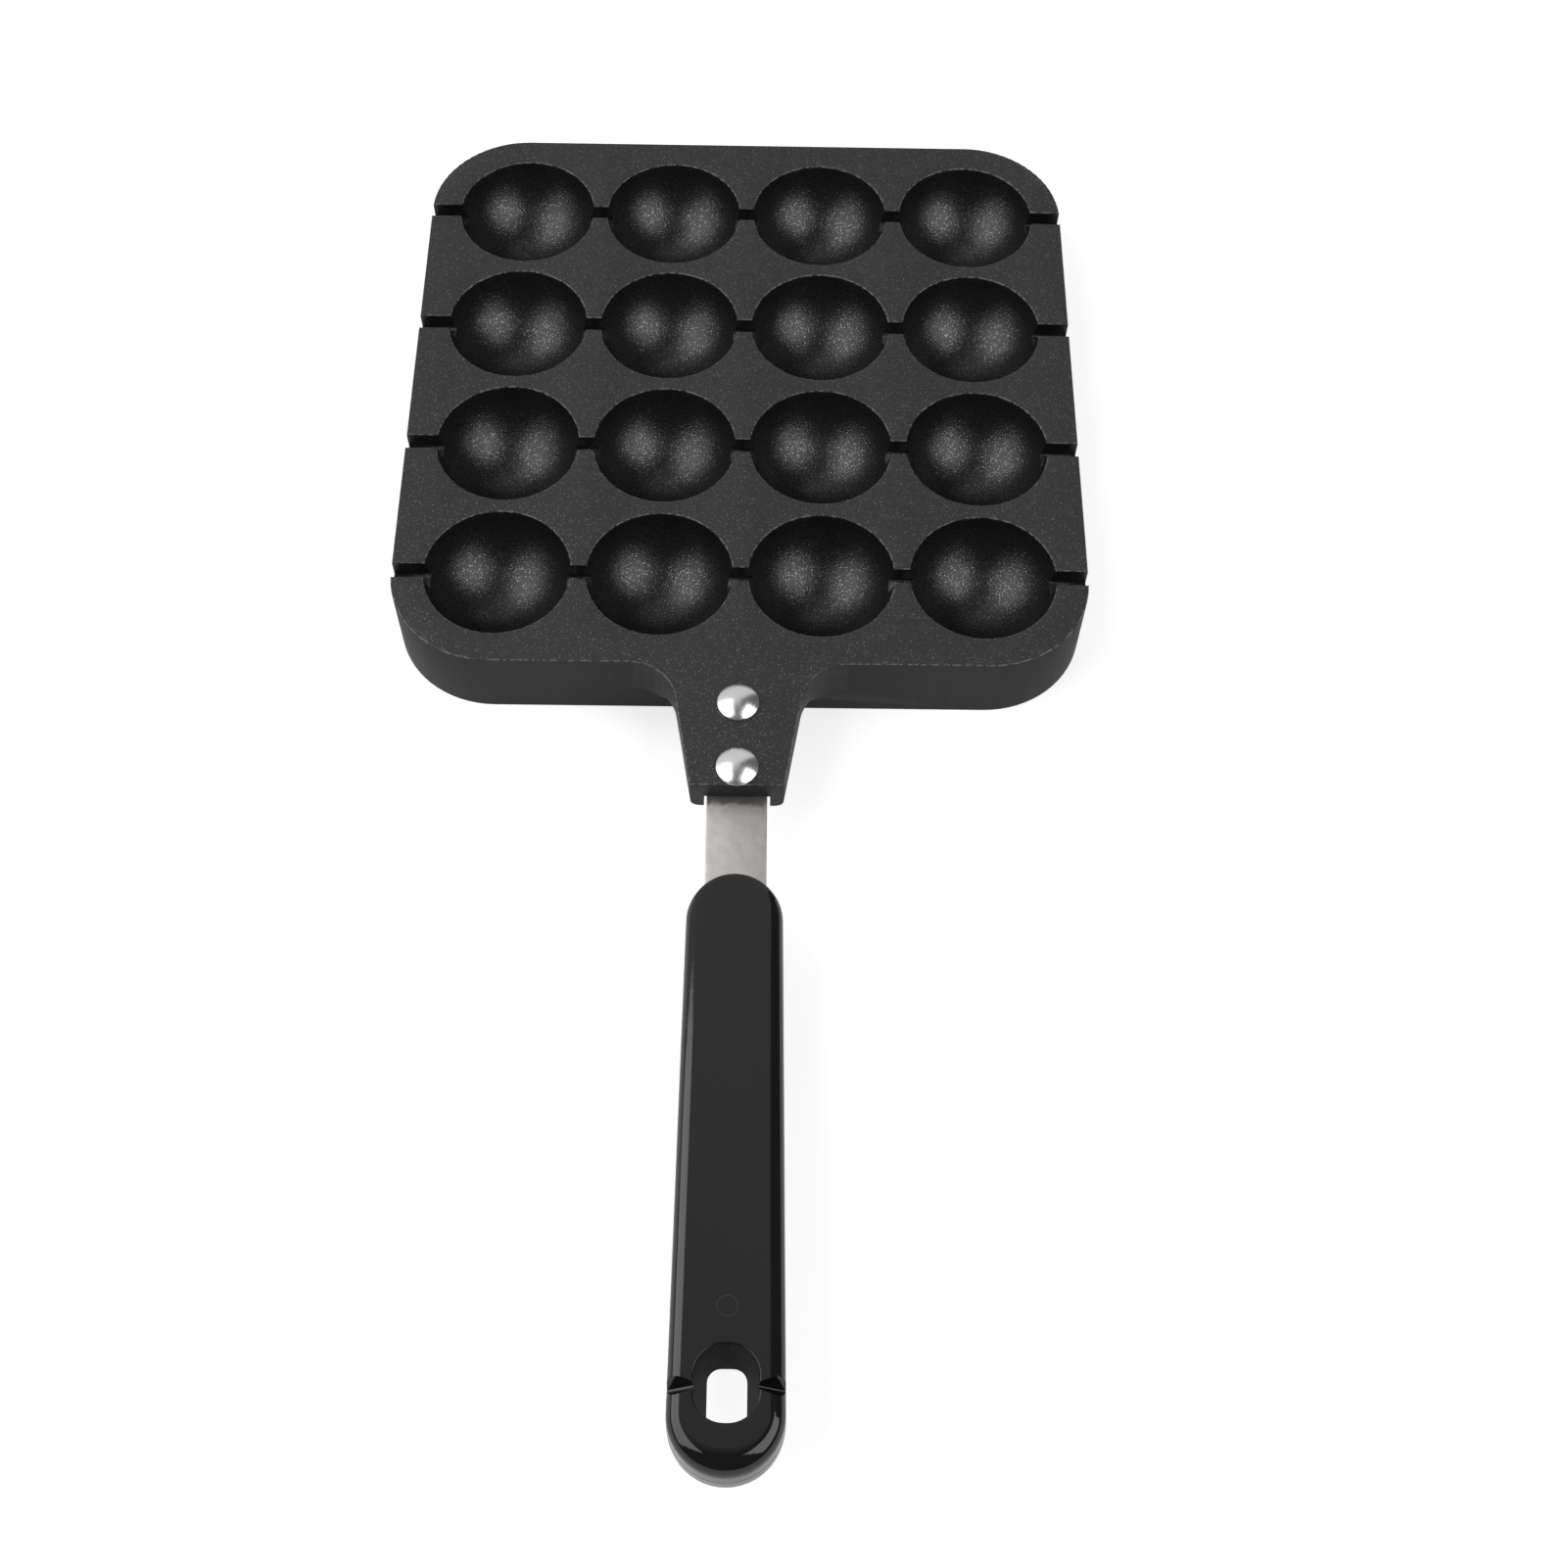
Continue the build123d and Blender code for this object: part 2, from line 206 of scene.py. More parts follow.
class StageSetup(PropertyGroup):
    """Camera, lamps and backdrop."""

    aim: place("Aim", "Point that the middle of the picture shows", (0.01125, -0.12235, 0.021))
    distance: length("Distance", "From the camera to its aim", 505.5)
    azimuth: degrees("Azimuth", "Turn of the camera about the upright axis", -1.383)
    elevation: degrees("Elevation", "Height of the camera over the horizon", 60.63)
    roll: degrees("Roll", "Turn of the camera about its own axis", 1.856)
    lens: share("Lens", "Focal length in millimetres", 48.61, 500.0)
    lit_point: place("Lit point", "Point that both softboxes face", (0.0, -0.09, 0.015))
    right_lamp: place("Right lamp", "Middle of the right softbox", (1.050, -0.560, 1.050))
    right_size: length("Right size", "Width and height of the right softbox", 1350.0)
    right_power: share("Right power", "Watts of the right softbox", 15.0, 100.0)
    left_lamp: place("Left lamp", "Middle of the left softbox", (-1.220, -0.200, 1.080))
    left_size: length("Left size", "Width and height of the left softbox", 1800.0)
    left_power: share("Left power", "Watts of the left softbox", 24.0, 100.0)
    back_level: share("Back level", "Brightness of the studio behind the pan", 0.80)
    front_level: share("Front level", "Brightness of the rest of the studio", 0.12)
    floor_reach: length("Floor reach", "From the middle of the floor to its sides", 4000.0)
    floor_drop: length("Floor drop", "Gap between the pan's rim and the floor", 0.05)
    floor_colour: colour("Floor", "Colour of the floor", (0.66, 0.66, 0.66))
    floor_lift: share("Floor lift", "White added where the camera sees the floor", 0.60)
    gloss_lift: share("Gloss lift", "White added where gloss mirrors the floor", 0.22)


def node_of(tree, kind, values=None, **settings):
    """Adds a node. The values go to its inputs by name or number, and a socket is linked."""
    node = tree.nodes.new(kind)
    for key, value in settings.items():
        setattr(node, key, value)
    for key, value in (values or {}).items():
        if isinstance(value, bpy.types.NodeSocket):
            tree.links.new(value, node.inputs[key])
        else:
            node.inputs[key].default_value = value
    return node


def calculate(tree, operation, *values):
    """The output of a Math node."""
    return node_of(tree, "ShaderNodeMath", dict(enumerate(values)), operation=operation).outputs[0]


def ramp_between(tree, value, low, high):
    """Rises smoothly from nought to one as the value goes from low to high."""
    node = node_of(
        tree,
        "ShaderNodeMapRange",
        {"Value": value, "From Min": low, "From Max": high},
        interpolation_type="SMOOTHSTEP",
    )
    return node.outputs["Result"]


def blend_colours(tree, factor, first, second):
    """Mixes two colours by a factor."""
    node = node_of(tree, "ShaderNodeMix", data_type="RGBA")
    sockets = (("Factor_Float", factor), ("A_Color", first), ("B_Color", second))
    for identifier, value in sockets:
        socket = next(s for s in node.inputs if s.identifier == identifier)
        if isinstance(value, bpy.types.NodeSocket):
            tree.links.new(value, socket)
        elif identifier == "Factor_Float":
            socket.default_value = value
        else:
            socket.default_value = (*value, 1.0)
    return next(s for s in node.outputs if s.identifier == "Result_Color")


def new_group(name, inputs, outputs):
    """An empty shader group with float inputs and their defaults, and float outputs."""
    tree = bpy.data.node_groups.new(name, "ShaderNodeTree")
    for label, value in inputs.items():
        socket = tree.interface.new_socket(label, in_out="INPUT", socket_type="NodeSocketFloat")
        socket.default_value = value
    for label in outputs:
        tree.interface.new_socket(label, in_out="OUTPUT", socket_type="NodeSocketFloat")
    entry = tree.nodes.new("NodeGroupInput")
    leave = tree.nodes.new("NodeGroupOutput")
    return tree, entry.outputs, leave.inputs


def group_outputs(tree, group, **values):
    """Places a group in a material with its own values and gives its outputs."""
    node = tree.nodes.new("ShaderNodeGroup")
    node.node_tree = group
    for key, value in values.items():
        socket = node.inputs[key.replace("_", " ").capitalize()]
        if isinstance(value, bpy.types.NodeSocket):
            tree.links.new(value, socket)
        else:
            socket.default_value = value
    return node.outputs


def scaled_position(tree, size, stretch=None):
    """Object coordinates divided by a size, which may differ along the three axes."""
    position = node_of(tree, "ShaderNodeTexCoord").outputs["Object"]
    if stretch is not None:
        position = node_of(
            tree, "ShaderNodeVectorMath", {0: position, 1: stretch}, operation="MULTIPLY"
        ).outputs[0]
    inverse = calculate(tree, "DIVIDE", 1.0, size)
    scaled = node_of(tree, "ShaderNodeVectorMath", {0: position}, operation="SCALE")
    tree.links.new(inverse, scaled.inputs["Scale"])
    return scaled.outputs[0]


def flecks_group():
    """Single bright flecks, a few of the cells of a fine cell pattern."""
    tree, entry, leave = new_group(
        "Flecks", {"Size": 0.5 * MM, "Amount": 0.2, "Radius": 0.35}, ["Mask", "Tone"]
    )
    cells = node_of(
        tree, "ShaderNodeTexVoronoi", {"Vector": scaled_position(tree, entry["Size"]), "Scale": 1.0}
    )
    drawn = node_of(tree, "ShaderNodeSeparateColor", {0: cells.outputs["Color"]}).outputs
    chosen = calculate(tree, "LESS_THAN", drawn[0], entry["Amount"])
    spot = calculate(tree, "LESS_THAN", cells.outputs["Distance"], entry["Radius"])
    tree.links.new(calculate(tree, "MULTIPLY", chosen, spot), leave["Mask"])
    tree.links.new(drawn[1], leave["Tone"])
    return tree


def grain_group():
    """A fine grain with a coarser mottle over it."""
    tree, entry, leave = new_group(
        "Grain", {"Size": 0.4 * MM, "Mottle": 6.0, "Roughness": 0.6}, ["Fine", "Coarse"]
    )
    position = scaled_position(tree, entry["Size"])
    fine = node_of(
        tree,
        "ShaderNodeTexNoise",
        {"Vector": position, "Scale": 1.0, "Detail": 3.0, "Roughness": entry["Roughness"]},
    )
    inverse = calculate(tree, "DIVIDE", 1.0, entry["Mottle"])
    coarse = node_of(
        tree,
        "ShaderNodeTexNoise",
        {"Vector": position, "Scale": inverse, "Detail": 2.0, "Roughness": 0.5},
    )
    tree.links.new(fine.outputs["Fac"], leave["Fine"])
    tree.links.new(coarse.outputs["Fac"], leave["Coarse"])
    return tree


def wear_group():
    """Wear on the rounded edges at one height: where the surface leans, broken up by grain."""
    tree, entry, leave = new_group(
        "Edge wear",
        {"Height": 21.0 * MM, "Depth": 0.45 * MM, "Amount": 0.5, "Size": 1.4 * MM},
        ["Mask"],
    )
    place_of = node_of(tree, "ShaderNodeTexCoord").outputs["Object"]
    upwards = node_of(tree, "ShaderNodeSeparateXYZ", {0: place_of}).outputs["Z"]
    lowest = calculate(tree, "SUBTRACT", entry["Height"], entry["Depth"])
    near_top = calculate(tree, "GREATER_THAN", upwards, lowest)
    normal = node_of(tree, "ShaderNodeNewGeometry").outputs["Normal"]
    lean = node_of(tree, "ShaderNodeSeparateXYZ", {0: normal}).outputs["Z"]
    off_upright = ramp_between(tree, lean, 0.15, 0.45)
    off_level = ramp_between(tree, lean, 0.99, 0.85)
    leaning = calculate(tree, "MULTIPLY", off_upright, off_level)
    patches = node_of(
        tree,
        "ShaderNodeTexNoise",
        {"Vector": scaled_position(tree, entry["Size"]), "Scale": 1.0, "Detail": 4.0},
    ).outputs["Fac"]
    threshold = calculate(tree, "SUBTRACT", 1.0, entry["Amount"])
    broken = ramp_between(tree, patches, threshold, calculate(tree, "ADD", threshold, 0.12))
    worn = calculate(tree, "MULTIPLY", calculate(tree, "MULTIPLY", near_top, leaning), broken)
    tree.links.new(worn, leave["Mask"])
    return tree


def new_material(name):
    """An empty material with its shader, ready for a pattern."""
    material = bpy.data.materials.new(name)
    material.use_nodes = True
    tree = material.node_tree
    tree.nodes.clear()
    shader = tree.nodes.new("ShaderNodeBsdfPrincipled")
    output = tree.nodes.new("ShaderNodeOutputMaterial")
    tree.links.new(shader.outputs[0], output.inputs["Surface"])
    return material, tree, shader


def bump(tree, shader, height, distance, strength=1.0, below=None):
    """Feeds a height to the shader's normal, over an earlier bump if there is one."""
    node = node_of(
        tree, "ShaderNodeBump", {"Height": height, "Distance": distance, "Strength": strength}
    )
    if below is not None:
        tree.links.new(below, node.inputs["Normal"])
    tree.links.new(node.outputs[0], shader.inputs["Normal"])
    return node.outputs[0]


def effect(name, make):
    """A shared shader group, made the first time that it is asked for."""
    return bpy.data.node_groups.get(name) or make()


def grain_of(tree, size, mottle):
    """The shared grain at a material's own size, with its mottle some times coarser."""
    return group_outputs(tree, effect("Grain", grain_group), size=size, mottle=mottle)


def flecks_of(tree, size, amount, radius):
    """The shared flecks at a material's own size."""
    return group_outputs(tree, effect("Flecks", flecks_group), size=size, amount=amount, radius=radius)


def toned(base, factor):
    """A colour made darker or lighter by a factor."""
    return tuple(factor * channel for channel in base)


def paint(tree, shader, shade):
    """Feeds a colour pattern to the shader."""
    tree.links.new(shade, shader.inputs["Base Color"])


def roughen(tree, shader, pattern, spread, least):
    """Lets the roughness follow a pattern, from its least value and up by its spread."""
    rough = calculate(tree, "MULTIPLY_ADD", pattern, spread, least)
    tree.links.new(rough, shader.inputs["Roughness"])


def coating(name, finish, base, gloss, roughness, fleck_size, fleck_amount, depth, grain_size, wear):
    """Baked dark coating with metallic flecks, fine grain and wear along the top edges."""
    material, tree, shader = new_material(name)
    shader.inputs["Specular IOR Level"].default_value = gloss
    flecks = flecks_of(tree, fleck_size, fleck_amount, 0.40)
    grain = grain_of(tree, grain_size, 9.0)
    worn = group_outputs(
        tree,
        effect("Edge wear", wear_group),
        height=frame_top(),
        depth=finish.edge_round * 1.3,
        amount=wear,
        size=1.4 * MM,
    )["Mask"]
    tone = blend_colours(tree, grain["Fine"], toned(base, 0.72), toned(base, 1.28))
    shaded = blend_colours(tree, ramp_between(tree, grain["Coarse"], 0.3, 0.7), tone, base)
    bright = tuple(finish.fleck_colour)
    fleck = blend_colours(tree, flecks["Tone"], toned(bright, 0.3), bright)
    flecked = blend_colours(tree, flecks["Mask"], shaded, fleck)
    rubbed = calculate(tree, "MULTIPLY", worn, 0.35)
    paint(tree, shader, blend_colours(tree, rubbed, flecked, tuple(finish.worn_colour)))
    tree.links.new(flecks["Mask"], shader.inputs["Metallic"])
    roughen(tree, shader, grain["Fine"], 0.16, roughness - 0.08)
    bump(tree, shader, grain["Fine"], depth)
    return material


def wall_coating(finish):
    """The same coating on the outer walls, smoother, with faint upright streaks and a darker base that is
    painted shade.
    """
    material, tree, shader = new_material("coated_wall")
    shader.inputs["Specular IOR Level"].default_value = 0.30
    grain = grain_of(tree, 0.5 * MM, 14.0)
    upright = (1.0, 1.0, 0.06)
    streaks = node_of(
        tree,
        "ShaderNodeTexNoise",
        {"Vector": scaled_position(tree, 1.6 * MM, upright), "Scale": 1.0, "Detail": 3.0},
    ).outputs["Fac"]
    base = tuple(finish.wall_shaded_colour)
    streaked = blend_colours(
        tree, ramp_between(tree, streaks, 0.35, 0.75), toned(base, 0.8), toned(base, 1.3)
    )
    mottle = ramp_between(tree, grain["Coarse"], 0.35, 0.7)
    paint(tree, shader, blend_colours(tree, mottle, streaked, toned(base, 0.85)))
    roughen(tree, shader, streaks, 0.18, 0.36)
    bump(tree, shader, grain["Fine"], 0.02 * MM)
    return material


def raw_casting(finish):
    """The rough dark underside of the casting."""
    material, tree, shader = new_material("cast_underside")
    grain = grain_of(tree, 0.9 * MM, 16.0)
    base = tuple(finish.cast_colour)
    paint(tree, shader, blend_colours(tree, grain["Coarse"], toned(base, 0.6), toned(base, 1.5)))
    roughen(tree, shader, grain["Coarse"], 0.3, 0.5)
    bump(tree, shader, grain["Fine"], 0.10 * MM)
    return material


def tumbled_steel(finish, neck_end):
    """Tumbled steel, with a darker patch beside the neck that is painted shade for the neck's shadow and
    reflection.
    """
    material, tree, shader = new_material("tumbled_steel")
    grain = grain_of(tree, finish.grain_size, 7.0)
    reach = finish.neck_shade_reach
    position = node_of(tree, "ShaderNodeTexCoord").outputs["Object"]
    along = node_of(tree, "ShaderNodeSeparateXYZ", {0: position}).outputs["Y"]
    wavering = calculate(tree, "MULTIPLY_ADD", grain["Coarse"], reach, along)
    patch = ramp_between(tree, wavering, neck_end - 0.1 * reach, neck_end + 0.25 * reach)
    base = tuple(finish.steel_colour)
    mottled = blend_colours(tree, ramp_between(tree, grain["Coarse"], 0.3, 0.7), toned(base, 0.9), base)
    speckled = blend_colours(
        tree, ramp_between(tree, grain["Fine"], 0.25, 0.5), toned(base, 0.72), mottled
    )
    # The darker patch beside the neck is painted shade, for the neck's shadow and reflection on the strap
    neck_shade = calculate(tree, "MULTIPLY", patch, 0.85)
    paint(tree, shader, blend_colours(tree, neck_shade, speckled, tuple(finish.neck_shade_colour)))
    shader.inputs["Metallic"].default_value = 1.0
    roughen(tree, shader, grain["Fine"], 0.2, 0.36)
    bump(tree, shader, grain["Fine"], 0.03 * MM)
    return material


def turned_aluminium(name, base, centre):
    """Bright aluminium with the fine rings of a setting tool round its own centre."""
    material, tree, shader = new_material(name)
    position = node_of(tree, "ShaderNodeTexCoord").outputs["Object"]
    offset = node_of(
        tree, "ShaderNodeVectorMath", {0: position, 1: (centre.x, centre.y, 0.0)}, operation="SUBTRACT"
    ).outputs[0]
    parts = node_of(tree, "ShaderNodeSeparateXYZ", {0: offset}).outputs
    flat = node_of(tree, "ShaderNodeCombineXYZ", {"X": parts["X"], "Y": parts["Y"]}).outputs[0]
    radius = node_of(tree, "ShaderNodeVectorMath", {0: flat}, operation="LENGTH").outputs["Value"]
    rings = node_of(
        tree,
        "ShaderNodeTexNoise",
        {"W": calculate(tree, "DIVIDE", radius, 0.22 * MM), "Scale": 1.0, "Detail": 2.0},
        noise_dimensions="1D",
    ).outputs["Fac"]
    grain = grain_of(tree, 1.2 * MM, 3.0)
    paint(tree, shader, blend_colours(tree, grain["Coarse"], toned(base, 0.9), base))
    shader.inputs["Metallic"].default_value = 1.0
    roughen(tree, shader, grain["Fine"], 0.12, 0.19)
    soft = bump(tree, shader, grain["Coarse"], 0.02 * MM, 0.5)
    bump(tree, shader, rings, 0.003 * MM, 1.0, below=soft)
    return material


def black_phenolic(name, shape, mark, roughness, gloss):
    """Black moulded phenolic with faint flow marks, a few specks of dust and the ejector mark."""
    material, tree, shader = new_material(name)
    shader.inputs["Specular IOR Level"].default_value = gloss
    dust = flecks_of(tree, 3.2 * MM, 0.10, 0.045)
    grain = grain_of(tree, 7.0 * MM, 3.0)
    base = tuple(shape.plastic_colour)
    flowed = blend_colours(tree, grain["Coarse"], base, toned(base, 1.5))
    dusty = calculate(tree, "MULTIPLY", dust["Mask"], 0.6)
    dusted = blend_colours(tree, dusty, flowed, tuple(shape.dust_colour))
    position = node_of(tree, "ShaderNodeTexCoord").outputs["Object"]
    reach = node_of(
        tree, "ShaderNodeVectorMath", {0: position, 1: tuple(mark)}, operation="DISTANCE"
    ).outputs["Value"]
    off = calculate(tree, "ABSOLUTE", calculate(tree, "SUBTRACT", reach, shape.mark_radius))
    line = ramp_between(tree, off, 0.16 * MM, 0.06 * MM)
    broken = ramp_between(tree, grain["Coarse"], 0.40, 0.55)
    ring = calculate(tree, "MULTIPLY", line, broken)
    paint(tree, shader, blend_colours(tree, ring, dusted, tuple(shape.mark_colour)))
    roughen(tree, shader, grain["Fine"], 0.06, roughness)
    bump(tree, shader, grain["Fine"], 0.02 * MM)
    return material


def bright_steel(finish):
    """Zinc-bright steel of the hidden fasteners."""
    material, tree, shader = new_material("bright_steel")
    grain = grain_of(tree, 0.5 * MM, 5.0)
    base = tuple(finish.steel_colour)
    paint(tree, shader, blend_colours(tree, grain["Coarse"], toned(base, 0.8), base))
    shader.inputs["Metallic"].default_value = 1.0
    roughen(tree, shader, grain["Fine"], 0.2, 0.22)
    bump(tree, shader, grain["Fine"], 0.01 * MM)
    return material


def frame_top():
    """Height of the plate's top, where the neck and the plate are flush."""
    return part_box("pan_body")[1].z


def new_piece(name, mesh):
    """A piece at the origin that holds the mesh."""
    piece = bpy.data.objects.new(name, mesh)
    bpy.context.scene.collection.objects.link(piece)
    return piece


def merged_copy(node, name):
    """A copy of a CAD node's mesh with its loose triangles joined."""
    mesh = bpy.data.meshes.new(name)
    shell = bmesh.new()
    shell.from_mesh(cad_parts[node].data)
    bmesh.ops.remove_doubles(shell, verts=shell.verts, dist=0.002 * MM)
    bmesh.ops.dissolve_degenerate(shell, edges=shell.edges, dist=0.002 * MM)
    shell.to_mesh(mesh)
    shell.free()
    return new_piece(name, mesh)


def smooth_by_angle(piece, angle):
    """Smooth shading, with sharp edges where two faces meet at more than the angle."""
    piece.data.shade_smooth()
    piece.data.set_sharp_from_angle(angle=math.radians(angle))


def even_normals(piece):
    """Lets the large faces set the shading, so that flats stay flat beside rounded edges."""
    step = piece.modifiers.new("Even normals", "WEIGHTED_NORMAL")
    step.keep_sharp = True
    step.weight = 100
    plain_mesh(piece)


def plain_mesh(piece):
    """Turns what the piece's modifiers make into its own mesh, and removes the modifiers."""
    bpy.context.view_layer.update()
    evaluated = piece.evaluated_get(bpy.context.evaluated_depsgraph_get())
    mesh = bpy.data.meshes.new_from_object(evaluated)
    piece.modifiers.clear()
    piece.data = mesh
    mesh.name = piece.name


def soften(piece, width, segments, angle):
    """Adds a rounding to the edges where two faces meet at more than the angle."""
    edges = piece.modifiers.new("Edges", "BEVEL")
    edges.width = width
    edges.segments = segments
    edges.limit_method = "ANGLE"
    edges.angle_limit = math.radians(angle)


def dress(piece, slot, *nodes):
    """Lets a finished piece stand for its CAD nodes."""
    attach(piece, BODY)
    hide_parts(*nodes)


class PAN_OT_plate(Operator):
    """Dress the cast plate: land, cups, walls and underside each get their own coating; the darker bases
    of the cups and walls are painted shade
    """

    bl_idname = "pan.plate"
    bl_label = "Cast plate"

    def execute(self, context):
        finish = context.scene.pan_plate
        piece = merged_copy("pan_body", "plate_casting")
        self.round_neck(piece.data, finish)
        piece.data.materials.clear()
        for material in (
            coating(
                "coated_land",
                finish,
                base=tuple(finish.land_colour),
                gloss=0.38,
                roughness=0.60,
                fleck_size=finish.land_fleck_size,
                fleck_amount=0.22,
                depth=0.05 * MM,
                grain_size=0.30 * MM,
                wear=0.56,
            ),
            coating(
                "coated_cups",
                finish,
                # Darker base than the flat's: painted shade inside the cups
                base=tuple(finish.cup_shaded_colour),
                gloss=0.50,
                roughness=0.27,
                fleck_size=finish.cup_fleck_size,
                fleck_amount=0.34,
                depth=0.10 * MM,
                grain_size=0.50 * MM,
                wear=0.50,
            ),
            wall_coating(finish),
            raw_casting(finish),
        ):
            piece.data.materials.append(material)
        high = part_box("pan_body")[1]
        for polygon in piece.data.polygons:
            polygon.material_index = self.zone(finish, high.x, high.z, polygon.center, polygon.normal)
        smooth_by_angle(piece, 32.0)
        dress(piece, "coated_cast_aluminium", "pan_body")
        return {"FINISHED"}

    def round_neck(self, mesh, finish):
        """Rounds the neck's two lower outer edges, in front of the plate."""
        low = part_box("pan_body")[0]
        shell = bmesh.new()
        shell.from_mesh(mesh)
        front = low.x - 0.01 * MM
        neck = [f for f in shell.faces if all(v.co.y < front for v in f.verts)]
        flat = [f for f in neck if abs(f.normal.z) < 0.05 or f.normal.z < -0.9]
        edges = list(dict.fromkeys(e for f in flat for e in f.edges))
        verts = list(dict.fromkeys(v for f in flat for v in f.verts))
        bmesh.ops.dissolve_limit(shell, angle_limit=math.radians(0.5), verts=verts, edges=edges)
        lower = [e for e in shell.edges if self.on_flank(e, finish, low)]
        bmesh.ops.bevel(
            shell,
            geom=lower,
            offset=finish.neck_round,
            segments=6,
            profile=0.5,
            affect="EDGES",
            clamp_overlap=True,
        )
        bmesh.ops.triangulate(shell, faces=[f for f in shell.faces if len(f.verts) > 4])
        shell.to_mesh(mesh)
        shell.free()

    def on_flank(self, edge, finish, low):
        """True for an edge between the neck's side and its bottom, well in front of the plate."""
        start, end = edge.verts
        if len(edge.link_faces) != 2 or min(abs(start.co.x), abs(end.co.x)) < 0.6 * finish.channel_width:
            return False
        if max(start.co.y, end.co.y) > low.x - 1.5 * finish.neck_round:
            return False
        if abs(start.co.y - end.co.y) < 0.01 * MM or edge.calc_face_angle(0.0) < math.radians(60.0):
            return False
        return any(face.normal.z < -0.9 for face in edge.link_faces)

    def zone(self, finish, outer, top, centre, normal):
        """The number of the coating that a face gets."""
        land, cups, walls, underside = range(4)
        if centre.z > top - 1.05 * finish.edge_round and normal.z > 0.03:
            return land
        radius = ((finish.cup_rim / 2) ** 2 + finish.cup_depth**2) / (2 * finish.cup_depth)
        half_pitch = finish.cup_pitch / 2
        local_x = (centre.x + 2 * finish.cup_pitch) % finish.cup_pitch - half_pitch
        local_y = (centre.y + 2 * finish.cup_pitch) % finish.cup_pitch - half_pitch
        ball = Vector((local_x, local_y, centre.z - (top - finish.cup_depth + radius)))
        on_plate = max(abs(centre.x), abs(centre.y)) < 2 * finish.cup_pitch + 0.1 * half_pitch
        if on_plate and abs(ball.length - radius) < 0.1 * MM and normal.dot(ball) < 0:
            return cups
        slack = 0.05 * MM
        if abs(local_y) < finish.slot_width / 2 + slack and centre.z > top - finish.slot_depth - slack:
            if abs(centre.y) < outer and (normal.z > 0.5 or abs(normal.y) > 0.7):
                return cups
        flat = Vector((
            max(abs(centre.x) - outer + finish.corner_radius, 0.0),
            max(abs(centre.y) - outer + finish.corner_radius, 0.0),
        ))
        outside = flat.length - finish.corner_radius
        if outside > -0.2 * MM and abs(normal.z) < 0.7:
            return walls
        return underside


class PAN_OT_strap(Operator):
    """Dress the strap: softened edges and tumbled steel"""

    bl_idname = "pan.strap"
    bl_label = "Handle strap"

    def execute(self, context):
        finish = context.scene.pan_strap
        piece = merged_copy("handle_strap", "strap")
        soften(piece, finish.edge_round, 3, 50.0)
        plain_mesh(piece)
        piece.data.materials.clear()
        piece.data.materials.append(tumbled_steel(finish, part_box("pan_body")[0].y))
        smooth_by_angle(piece, 35.0)
        dress(piece, "strap_steel", "handle_strap")
        return {"FINISHED"}


RIVET_SIZES = (
    "Head radius",
    "Head height",
    "Head edge",
    "Shank radius",
    "Grip",
    "Tail radius",
    "Tail height",
    "Tail edge",
)


